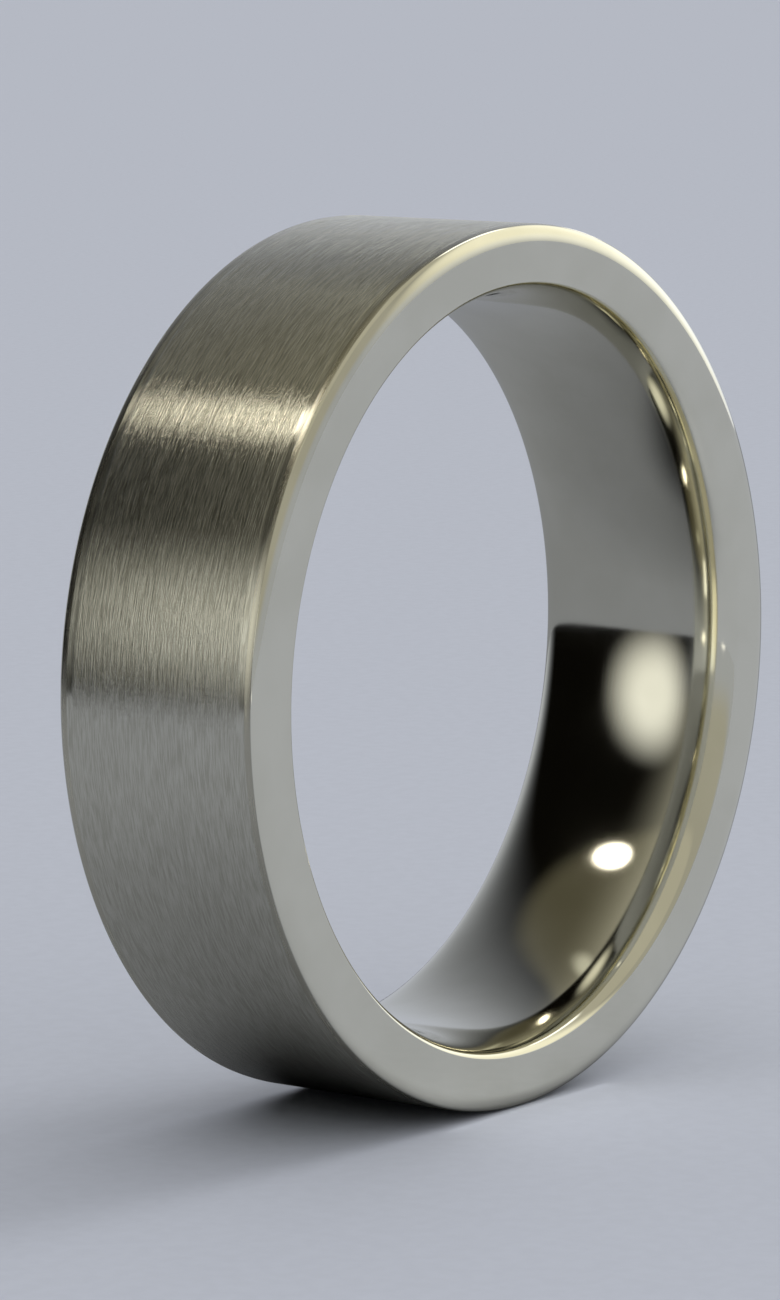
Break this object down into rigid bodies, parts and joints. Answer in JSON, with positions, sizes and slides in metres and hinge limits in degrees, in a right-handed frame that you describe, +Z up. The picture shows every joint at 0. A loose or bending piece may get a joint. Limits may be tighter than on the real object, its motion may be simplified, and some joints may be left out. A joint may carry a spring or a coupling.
{
  "type": "wedding band",
  "caption": "Plain flat finger ring with a satin outer face, polished side faces and a comfort-fit bore that is domed across its width.",
  "frame": {"origin": "centre of the bore, halfway between the two side faces", "axes": "+Y along the bore's axis, which is level, and +Z up, so the band is upright with its rim lowest; it looks the same from either side and at any turn about +Y"},
  "size_m": [0.022, 0.006, 0.022],
  "materials": {
    "satin_metal": "satin brushed outer face, polished edges, side faces and bore"
  },
  "bodies": {
    "root": {"band": "satin_metal"}
  },
  "joints": []
}
